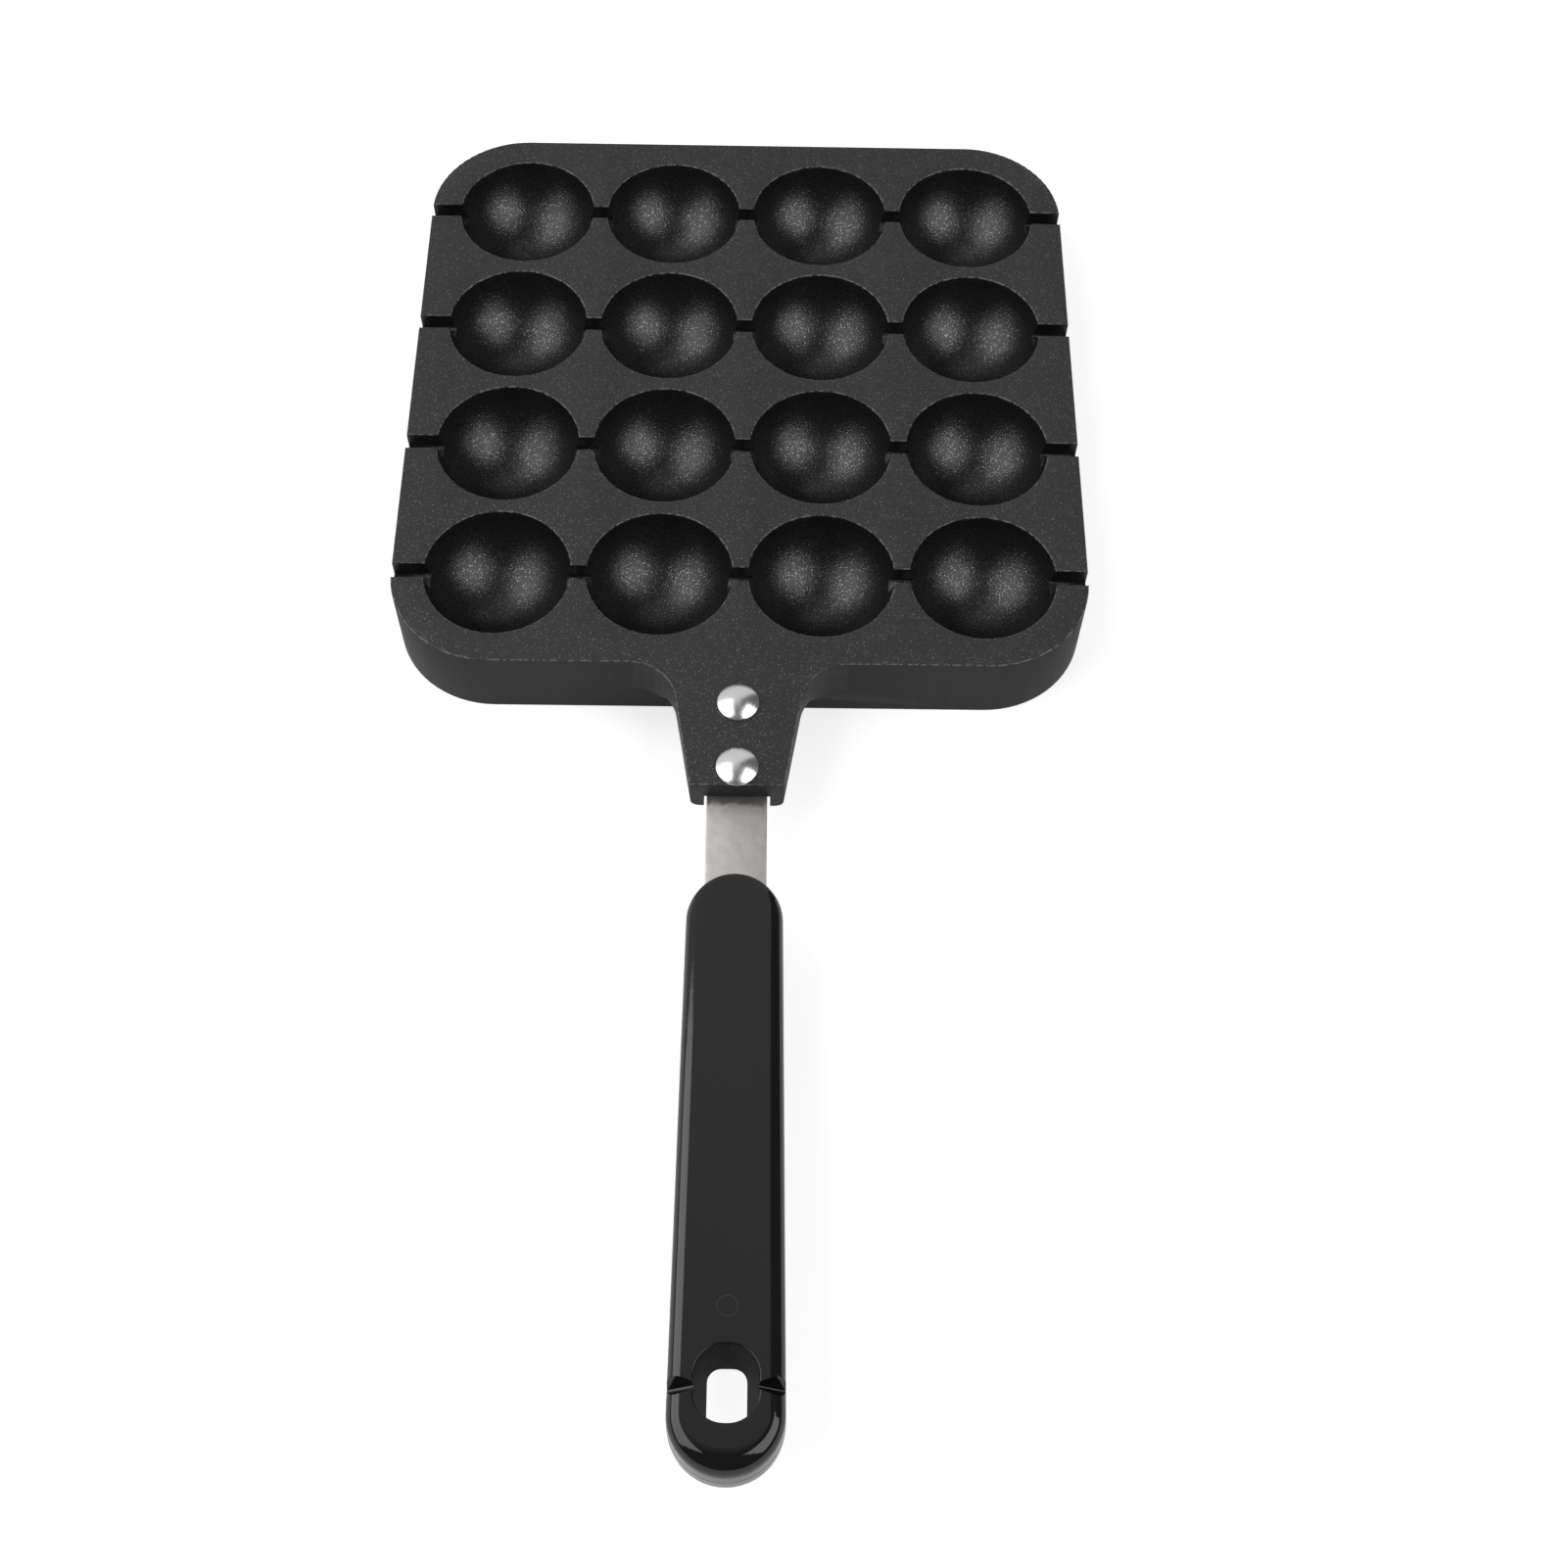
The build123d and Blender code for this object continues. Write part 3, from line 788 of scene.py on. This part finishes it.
def rivet_tree():
    """Geometry nodes for a set rivet: dome, shank and tail turned about the rivet's own axis."""
    tree = bpy.data.node_groups.new("Set rivet", "GeometryNodeTree")
    tree.interface.new_socket("Geometry", in_out="INPUT", socket_type="NodeSocketGeometry")
    for label in RIVET_SIZES:
        tree.interface.new_socket(label, in_out="INPUT", socket_type="NodeSocketFloat")
    tree.interface.new_socket("Centre", in_out="INPUT", socket_type="NodeSocketVector")
    tree.interface.new_socket("Metal", in_out="INPUT", socket_type="NodeSocketMaterial")
    tree.interface.new_socket("Geometry", in_out="OUTPUT", socket_type="NodeSocketGeometry")
    entry = tree.nodes.new("NodeGroupInput").outputs
    leave = tree.nodes.new("NodeGroupOutput").inputs

    def point(radius, height):
        """A point of the profile: X runs outwards from the head's rim, and Y downwards."""
        across = calculate(tree, "SUBTRACT", radius, entry["Head radius"])
        down = calculate(tree, "MULTIPLY", height, -1.0)
        return node_of(tree, "ShaderNodeCombineXYZ", {"X": across, "Y": down}).outputs[0]

    def line(start, end):
        """A straight run of the profile."""
        return node_of(
            tree, "GeometryNodeCurvePrimitiveLine", {"Start": start, "End": end}
        ).outputs["Curve"]

    def dome(height, edge, radius):
        """A quarter of the dome, through the point where it has fallen by its share of the rise."""
        rise = calculate(tree, "SUBTRACT", height, edge)
        fall = calculate(tree, "MULTIPLY_ADD", rise, -0.25, height)
        half = calculate(tree, "MULTIPLY", radius, 0.5)
        node = node_of(
            tree,
            "GeometryNodeCurveArc",
            {"Start": point(0.0, height), "Middle": point(half, fall), "End": point(radius, edge)},
            mode="POINTS",
        )
        node.inputs["Resolution"].default_value = 16
        return node.outputs["Curve"]

    under_head = calculate(tree, "MULTIPLY", entry["Grip"], -1.0)
    tail_edge = calculate(tree, "SUBTRACT", under_head, entry["Tail edge"])
    tail_end = calculate(tree, "SUBTRACT", under_head, entry["Tail height"])
    profile = node_of(tree, "GeometryNodeJoinGeometry")
    for curve in (
        dome(entry["Head height"], entry["Head edge"], entry["Head radius"]),
        line(point(entry["Head radius"], entry["Head edge"]), point(entry["Head radius"], 0.0)),
        line(point(entry["Head radius"], 0.0), point(entry["Shank radius"], 0.0)),
        line(point(entry["Shank radius"], 0.0), point(entry["Shank radius"], under_head)),
        line(point(entry["Shank radius"], under_head), point(entry["Tail radius"], under_head)),
        line(point(entry["Tail radius"], under_head), point(entry["Tail radius"], tail_edge)),
        dome(tail_end, tail_edge, entry["Tail radius"]),
    ):
        tree.links.new(curve, profile.inputs[0])
    rim = node_of(tree, "GeometryNodeCurvePrimitiveCircle", {"Radius": entry["Head radius"]})
    rim.inputs["Resolution"].default_value = 72
    turned = node_of(
        tree,
        "GeometryNodeCurveToMesh",
        {"Curve": rim.outputs["Curve"], "Profile Curve": profile.outputs[0]},
    ).outputs[0]
    welded = node_of(
        tree, "GeometryNodeMergeByDistance", {"Geometry": turned, "Distance": 0.002 * MM}
    ).outputs[0]
    spot = node_of(tree, "GeometryNodePoints", {"Count": 1, "Position": entry["Centre"]}).outputs[0]
    placed = node_of(
        tree, "GeometryNodeInstanceOnPoints", {"Points": spot, "Instance": welded}
    ).outputs[0]
    real = node_of(tree, "GeometryNodeRealizeInstances", {0: placed}).outputs[0]
    finished = node_of(
        tree, "GeometryNodeSetMaterial", {"Geometry": real, "Material": entry["Metal"]}
    ).outputs[0]
    tree.links.new(finished, leave["Geometry"])
    return tree


def set_inputs(modifier, values):
    """Sets a geometry nodes modifier's inputs by their names."""
    for item in modifier.node_group.interface.items_tree:
        if item.item_type == "SOCKET" and item.in_out == "INPUT" and item.name in values:
            modifier[item.identifier] = values[item.name]


class PAN_OT_rivets(Operator):
    """Set the two rivets through the neck and the strap"""

    bl_idname = "pan.rivets"
    bl_label = "Rivets"

    def execute(self, context):
        shape = context.scene.pan_rivets
        tree = rivet_tree()
        for node in ("front_rivet", "rear_rivet"):
            low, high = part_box(node)
            centre = Vector(((low.x + high.x) / 2, (low.y + high.y) / 2, frame_top()))
            metal = turned_aluminium(f"{node}_aluminium", tuple(shape.metal_colour), centre)
            piece = new_piece(f"{node}_set", bpy.data.meshes.new(node))
            turning = piece.modifiers.new("Set rivet", "NODES")
            turning.node_group = tree
            set_inputs(turning, {
                "Head radius": shape.head_radius,
                "Head height": shape.head_height,
                "Head edge": shape.head_edge,
                "Shank radius": shape.shank_radius,
                "Grip": frame_top() - low.z - shape.tail_height,
                "Tail radius": shape.tail_radius,
                "Tail height": shape.tail_height,
                "Tail edge": shape.tail_edge,
                "Centre": centre,
                "Metal": metal,
            })
            soften(piece, shape.edge_round, 3, 25.0)
            plain_mesh(piece)
            outwards(piece.data)
            smooth_by_angle(piece, 40.0)
            dress(piece, "rivet_aluminium", node)
        return {"FINISHED"}


def closed_mesh(shell, mesh):
    """Fills a mesh from a closed shell, with every face pointing outwards."""
    bmesh.ops.recalc_face_normals(shell, faces=shell.faces)
    shell.to_mesh(mesh)
    shell.free()
    return mesh


def outwards(mesh):
    """Makes every face of a closed mesh point outwards."""
    shell = bmesh.new()
    shell.from_mesh(mesh)
    closed_mesh(shell, mesh)


def handle_matrix(shape):
    """From the grip's own axes to the frame: X across, Y from nose to butt, Z out of its top."""
    low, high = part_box("grip")
    half = shape.thickness / 2
    cosine, sine = math.cos(shape.tilt), math.sin(shape.tilt)
    nose_y = high.y - (half - shape.side_round) * sine
    nose_z = low.z + half * cosine - shape.bottom_round * sine
    turn = Matrix(((-1.0, 0.0, 0.0), (0.0, -cosine, sine), (0.0, sine, cosine))).to_4x4()
    return Matrix.Translation((0.0, nose_y, nose_z)) @ turn


def rounded_reach(direction, half_width, half_length, corner):
    """Distance from the middle of a rounded rectangle to its edge, in a direction."""
    across, along = abs(direction.x), abs(direction.y)
    if across > 0 and along * half_width / across <= half_length - corner:
        return half_width / across
    if along > 0 and across * half_length / along <= half_width - corner:
        return half_length / along
    centre = Vector((half_width - corner, half_length - corner))
    towards = Vector((across, along)).dot(centre)
    return towards + math.sqrt(towards**2 - centre.length_squared + corner**2)


class GripPlan:
    """The grip seen from above: two round ends joined by straight sides."""

    def __init__(self, shape):
        self.nose = shape.nose_width / 2
        self.butt = shape.butt_width / 2
        self.nose_centre = Vector((0.0, self.nose))
        self.butt_centre = Vector((0.0, shape.full_length - self.butt))
        run = self.butt_centre.y - self.nose_centre.y
        self.taper = math.asin((self.butt - self.nose) / run)
        self.hole = Vector((0.0, shape.full_length - shape.hole_inset))

    def edge(self, direction):
        """Where a ray from the hole's centre leaves the plan, and the plan's normal there."""
        side = 1.0 if direction.x >= 0 else -1.0
        normal = Vector((side * math.cos(self.taper), -math.sin(self.taper)))
        facing = normal.dot(direction)
        if facing > 1e-6:
            reach = (normal.dot(self.nose_centre - self.hole) + self.nose) / facing
            point = self.hole + reach * direction
            drop = math.sin(self.taper)
            first = self.nose_centre.y - drop * self.nose
            last = self.butt_centre.y - drop * self.butt
            if first <= point.y <= last:
                return point, normal
        centre, radius = self.butt_centre, self.butt
        if direction.y < 0:
            centre, radius = self.nose_centre, self.nose
        offset = self.hole - centre
        along = direction.dot(offset)
        reach = -along + math.sqrt(along**2 - offset.length_squared + radius**2)
        point = self.hole + reach * direction
        return point, (point - centre).normalized()

    def directions(self, step, arc_step):
        """Rays from the hole: evenly turned, and more of them to the ends' arcs."""
        angles = {round(math.radians(a), 7) for a in range(0, 360, step)}
        for centre, radius, first in (
            (self.nose_centre, self.nose, -180),
            (self.butt_centre, self.butt, 0),
        ):
            for turn in range(first, first + 181, arc_step):
                heading = Vector((math.cos(math.radians(turn)), math.sin(math.radians(turn))))
                offset = centre + radius * heading - self.hole
                angles.add(round(math.atan2(offset.y, offset.x) % (2 * math.pi), 7))
        kept = []
        for angle in sorted(angles):
            if not kept or angle - kept[-1] > 2e-4:
                kept.append(angle)
        return [Vector((math.cos(a), math.sin(a))) for a in kept]


def grip_rings(shape, plan, direction):
    """The points of the moulding's skin along one ray, from the hole's top rim and back."""
    point, normal = plan.edge(direction)
    top, bottom = shape.thickness / 2, -shape.thickness / 2
    nose_share = max(0.0, -normal.y) ** 2
    butt_share = max(0.0, normal.y) ** 2
    reach = (
        shape.side_round
        + nose_share * (shape.nose_round - shape.side_round)
        + butt_share * (shape.butt_round - shape.side_round)
    )
    low_reach = shape.bottom_round
    support = 0.25 * MM
    seam = shape.seam_height

    def skin(inset, height):
        """A point of the outer skin, set in from the plan's edge."""
        flat = point - (inset + seam) * normal
        return Vector((flat.x, flat.y, height))

    def hole(swell, height, draft_share):
        """A point of the hanging hole: its mouth at a draft share of nought, its foot at one."""
        width = shape.hole_width / 2 - draft_share * shape.side_draft
        half = shape.hole_length / 2 - draft_share * shape.end_draft
        corner = shape.mouth_corner + draft_share * (shape.foot_corner - shape.mouth_corner)
        reach_out = rounded_reach(direction, width, half, corner) + swell
        flat = plan.hole + reach_out * direction
        return Vector((flat.x, flat.y, height))

    quarter = [math.radians(90 * i / ROUND_STEPS) for i in range(ROUND_STEPS + 1)]
    rim = shape.rim_round
    wall = 2 * (top - rim)
    ring = [hole(rim, top, 0.0), hole(rim + support, top, 0.0), skin(reach + support, top)]
    ring += [skin(reach * (1 - math.sin(a)), top - reach * (1 - math.cos(a))) for a in quarter]
    ring += [skin(0.0, seam * 2), skin(-seam, 0.0), skin(0.0, -seam * 2)]
    ring += [
        skin(low_reach * (1 - math.cos(a)), bottom + low_reach * (1 - math.sin(a))) for a in quarter
    ]
    ring += [skin(low_reach + support, bottom), hole(rim + support, bottom, 1.0), hole(rim, bottom, 1.0)]
    ring += [hole(rim * (1 - math.sin(a)), bottom + rim * (1 - math.cos(a)), 1.0) for a in quarter[2::2]]
    ring += [
        hole(0.0, bottom + rim + wall * t / WALL_STEPS, 1 - t / WALL_STEPS) for t in range(1, WALL_STEPS)
    ]
    ring += [hole(rim * (1 - math.sin(a)), top - rim * (1 - math.cos(a)), 0.0) for a in quarter[:1:-2]]
    return ring


def ring_mesh(name, rings, matrix):
    """A closed skin of quads through rings that close in both directions."""
    shell = bmesh.new()
    grid = [[shell.verts.new(matrix @ point) for point in ring] for ring in rings]
    for one, other in zip(grid, grid[1:] + grid[:1]):
        for i, vertex in enumerate(one):
            j = (i + 1) % len(one)
            shell.faces.new((vertex, one[j], other[j], other[i]))
    return closed_mesh(shell, bpy.data.meshes.new(name))


def cutter_between(name, first, last):
    """A cutter: a closed solid between two outlines with as many points each."""
    shell = bmesh.new()
    near = [shell.verts.new(point) for point in first]
    far = [shell.verts.new(point) for point in last]
    shell.faces.new(near)
    shell.faces.new(far[::-1])
    for i in range(len(near)):
        j = (i + 1) % len(near)
        shell.faces.new((near[i], far[i], far[j], near[j]))
    return new_piece(name, closed_mesh(shell, bpy.data.meshes.new(name)))


def prism(name, outline, height, matrix):
    """A cutter: a flat outline of points, pushed up by a height."""
    first = [matrix @ Vector(point) for point in outline]
    last = [matrix @ (Vector(point) + Vector((0.0, 0.0, height))) for point in outline]
    return cutter_between(name, first, last)


def disc_outline(radius, centre_y, height, sides=64):
    """The points of a circle in the grip's own plane."""
    turns = [2 * math.pi * i / sides for i in range(sides)]
    return [(radius * math.cos(t), centre_y + radius * math.sin(t), height) for t in turns]


def notch_cutter(shape, plan, side, matrix):
    """A wedge with a blunt keel that falls from the hole's wall to the grip's side."""
    start_x = side * shape.hole_width / 2
    end_x = side * shape.butt_width / 2
    keel_y = plan.hole.y + shape.notch_offset
    top = shape.thickness / 2
    slope = (shape.notch_side_depth - shape.notch_rim_depth) / (end_x - start_x)
    spread = shape.notch_side_width / 2 / shape.notch_side_depth
    past = side * shape.side_draft
    above = shape.rim_round
    keel = shape.notch_keel_round
    outlines = []
    for x in (start_x - past, end_x + past):
        depth = shape.notch_rim_depth + slope * (x - start_x)
        half = (depth + above) * spread
        section = [(-half, above), (-keel, keel / spread - depth), (-0.5 * keel, 0.5 * keel - depth)]
        section += [(0.0, 0.35 * keel - depth)]
        section += [(-step, rise) for step, rise in section[-2::-1]]
        outlines.append([matrix @ Vector((x, keel_y + y, top + z)) for y, z in section])
    return cutter_between("notch", *outlines)


class PAN_OT_grip(Operator):
    """Mould the grip: skin, hanging hole, notches, socket and screw recess"""

    bl_idname = "pan.grip"
    bl_label = "Grip"

    def execute(self, context):
        shape = context.scene.pan_grip
        plan = GripPlan(shape)
        matrix = handle_matrix(shape)
        rings = [grip_rings(shape, plan, d) for d in plan.directions(step=5, arc_step=5)]
        piece = new_piece("moulded_grip", ring_mesh("moulded_grip", rings, matrix))
        self.cut(piece, shape, plan, matrix)
        soften(piece, shape.edge_round, 2, 40.0)
        plain_mesh(piece)
        piece.data.materials.clear()
        mark = matrix @ Vector((0.0, plan.hole.y - shape.mark_inset, shape.thickness / 2))
        # The hole's material is matt with almost no gloss: painted shade inside the hanging hole
        for name, roughness, gloss in (("black_phenolic", 0.05, 0.5), ("matt_shaded_phenolic", 0.50, 0.04)):
            piece.data.materials.append(black_phenolic(name, shape, mark, roughness, gloss))
        smooth_by_angle(piece, 38.0)
        even_normals(piece)
        self.paint_hole_shade(piece.data, shape, plan, matrix.inverted())
        dress(piece, "grip_phenolic", "grip")
        return {"FINISHED"}

    def paint_hole_shade(self, mesh, shape, plan, to_plan):
        """Gives the wall of the hanging hole a matt surface, like a core pin's, with so little gloss that
        it is painted shade inside the hole.
        """
        turn = to_plan.to_3x3()
        slack = 0.2 * MM
        squareness = 2.6
        for polygon in mesh.polygons:
            centre = to_plan @ polygon.center
            across = abs(centre.x) / (shape.hole_width / 2 + slack)
            along = abs(centre.y - plan.hole.y) / (shape.hole_length / 2 + slack)
            inside = across**squareness + along**squareness < 1.0
            upright = abs((turn @ polygon.normal).z) < 0.5
            polygon.material_index = int(upright and inside)

    def cut(self, piece, shape, plan, matrix):
        """Cuts the hollows of the moulding."""
        bottom = -shape.thickness / 2
        screw_y = plan.hole.y - shape.screw_inset
        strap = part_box("handle_strap")
        wide = (strap[1].x - strap[0].x) / 2 + shape.socket_clearance
        narrow = shape.tang_width / 2
        half = (shape.strap_thickness + shape.socket_clearance) / 2
        open_end = -5.0 * MM
        shoulder = shape.shoulder_depth
        blind_end = screw_y + shape.tang_margin
        right = [(wide, open_end), (wide, shoulder), (narrow, shoulder), (narrow, blind_end)]
        left = [(-x, y) for x, y in reversed(right)]
        socket = [(x, y, -half) for x, y in right + left]
        below = 2.0 * MM
        recess = disc_outline(shape.recess_radius, screw_y, bottom - below)
        shaft = disc_outline(shape.shaft_radius, screw_y, bottom - below)
        cutters = [
            prism("socket", socket, 2 * half, matrix),
            prism("recess", recess, below + shape.recess_depth, matrix),
            prism("shaft", shaft, below - bottom, matrix),
            notch_cutter(shape, plan, 1.0, matrix),
            notch_cutter(shape, plan, -1.0, matrix),
        ]
        for cutter in cutters:
            step = piece.modifiers.new(cutter.name, "BOOLEAN")
            step.operation = "DIFFERENCE"
            step.object = cutter
            step.solver = "EXACT"
        plain_mesh(piece)
        for cutter in cutters:
            mesh = cutter.data
            bpy.data.objects.remove(cutter)
            bpy.data.meshes.remove(mesh)


class PAN_OT_fasteners(Operator):
    """Give the grip's screw and washers their bright steel"""

    bl_idname = "pan.fasteners"
    bl_label = "Screw and washers"

    def execute(self, context):
        steel = bright_steel(context.scene.pan_fasteners)
        for node in ("grip_screw", "lock_washer", "grip_washer"):
            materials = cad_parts[node].data.materials
            materials.clear()
            materials.append(steel)
        return {"FINISHED"}


class PAN_OT_stage(Operator):
    """Set up the camera, the softboxes, the floor and the studio around them"""

    bl_idname = "pan.stage"
    bl_label = "Stage"

    def execute(self, context):
        setup = context.scene.pan_stage
        self.camera(context.scene, setup)
        target = Vector(setup.lit_point)
        self.softbox("right_softbox", setup.right_lamp, target, setup.right_power, setup.right_size)
        self.softbox("left_softbox", setup.left_lamp, target, setup.left_power, setup.left_size)
        self.floor(setup)
        self.studio(context.scene, setup)
        context.scene.view_settings.view_transform = "Standard"
        return {"FINISHED"}

    def camera(self, scene, setup):
        """A camera on a ball round its aim."""
        data = bpy.data.cameras.new("camera")
        data.lens = setup.lens
        data.clip_start = 0.01
        camera = bpy.data.objects.new("camera", data)
        scene.collection.objects.link(camera)
        flat = math.cos(setup.elevation)
        away = Vector((
            math.sin(setup.azimuth) * flat,
            -math.cos(setup.azimuth) * flat,
            math.sin(setup.elevation),
        ))
        camera.location = Vector(setup.aim) + setup.distance * away
        turn = away.to_track_quat("Z", "Y").to_matrix() @ Matrix.Rotation(setup.roll, 3, "Z")
        camera.rotation_euler = turn.to_euler()
        scene.camera = camera

    def softbox(self, name, position, target, power, size):
        """A square lamp that faces the pan."""
        data = bpy.data.lights.new(name, "AREA")
        data.shape = "SQUARE"
        data.size = size
        data.energy = power
        lamp = bpy.data.objects.new(name, data)
        bpy.context.scene.collection.objects.link(lamp)
        lamp.location = position
        lamp.rotation_euler = (Vector(position) - target).to_track_quat("Z", "Y").to_euler()

    def floor(self, setup):
        """A pale floor that is seen as white and keeps a faint shadow."""
        half, level = setup.floor_reach, -setup.floor_drop
        mesh = bpy.data.meshes.new("floor")
        corners = [(-half, -half, level), (half, -half, level), (half, half, level), (-half, half, level)]
        mesh.from_pydata(corners, [], [(0, 1, 2, 3)])
        floor = new_piece("floor", mesh)
        material = bpy.data.materials.new("pale_floor")
        material.use_nodes = True
        tree = material.node_tree
        tree.nodes.clear()
        diffuse = node_of(tree, "ShaderNodeBsdfDiffuse", {"Color": (*setup.floor_colour, 1.0)})
        path = node_of(tree, "ShaderNodeLightPath").outputs
        mirrored = calculate(tree, "MULTIPLY", path["Is Glossy Ray"], setup.gloss_lift)
        lift = calculate(tree, "MULTIPLY_ADD", path["Is Camera Ray"], setup.floor_lift, mirrored)
        glow = node_of(tree, "ShaderNodeEmission", {"Strength": lift})
        both = node_of(tree, "ShaderNodeAddShader", {0: diffuse.outputs[0], 1: glow.outputs[0]})
        node_of(tree, "ShaderNodeOutputMaterial", {"Surface": both.outputs[0]})
        mesh.materials.append(material)

    def studio(self, scene, setup):
        """Dim light from all round, brighter behind the pan and to its left, pale to the camera.

        The bright part reaches farther right the farther back it lies.
        """
        world = bpy.data.worlds.new("studio")
        world.use_nodes = True
        tree = world.node_tree
        tree.nodes.clear()
        heading = node_of(tree, "ShaderNodeTexCoord").outputs["Generated"]
        parts = node_of(tree, "ShaderNodeSeparateXYZ", {0: heading}).outputs
        behind = ramp_between(tree, parts["Y"], -0.3, 0.6)
        start, spread = 0.4, 0.95
        beyond = calculate(tree, "MAXIMUM", calculate(tree, "SUBTRACT", parts["Y"], start), 0.0)
        across = calculate(tree, "MULTIPLY_ADD", beyond, -spread, parts["X"])
        leftwards = ramp_between(tree, across, 0.22, 0.10)
        backdrop = calculate(tree, "MULTIPLY", behind, leftwards)
        level = calculate(
            tree, "MULTIPLY_ADD", backdrop, setup.back_level - setup.front_level, setup.front_level
        )
        seen = node_of(tree, "ShaderNodeLightPath").outputs["Is Camera Ray"]
        strength = node_of(tree, "ShaderNodeMix", {"Factor": seen}, data_type="FLOAT")
        tree.links.new(level, strength.inputs["A"])
        strength.inputs["B"].default_value = 1.0
        light = node_of(tree, "ShaderNodeBackground", {"Strength": strength.outputs[0]})
        node_of(tree, "ShaderNodeOutputWorld", {"Surface": light.outputs[0]})
        scene.world = world


STEPS = (PAN_OT_stage, PAN_OT_plate, PAN_OT_strap, PAN_OT_rivets, PAN_OT_grip, PAN_OT_fasteners)


class PAN_PT_panel(Panel):
    """Lists the pan's pieces and the sizes and colours that can be changed"""

    bl_idname = "PAN_PT_panel"
    bl_label = "Takoyaki Pan"
    bl_space_type = "VIEW_3D"
    bl_region_type = "UI"
    bl_category = "Takoyaki Pan"

    def draw(self, context):
        for name in SETTINGS:
            box = self.layout.box()
            settings = getattr(context.scene, name)
            for key in settings.__annotations__:
                box.prop(settings, key)
        for step in STEPS:
            self.layout.operator(step.bl_idname)


SETTINGS = {
    "pan_plate": PlateFinish,
    "pan_strap": StrapFinish,
    "pan_rivets": RivetShape,
    "pan_grip": GripShape,
    "pan_fasteners": FastenerFinish,
    "pan_stage": StageSetup,
}


def register():
    for group in SETTINGS.values():
        bpy.utils.register_class(group)
    for name, group in SETTINGS.items():
        setattr(bpy.types.Scene, name, PointerProperty(type=group))
    for step in STEPS:
        bpy.utils.register_class(step)
    bpy.utils.register_class(PAN_PT_panel)


def unregister():
    bpy.utils.unregister_class(PAN_PT_panel)
    for step in reversed(STEPS):
        bpy.utils.unregister_class(step)
    for name, group in SETTINGS.items():
        delattr(bpy.types.Scene, name)
        bpy.utils.unregister_class(group)


def main():
    register()
    bpy.ops.pan.stage()
    bpy.ops.pan.plate()
    bpy.ops.pan.strap()
    bpy.ops.pan.rivets()
    bpy.ops.pan.grip()
    bpy.ops.pan.fasteners()


if __name__ == "__main__":
    main()
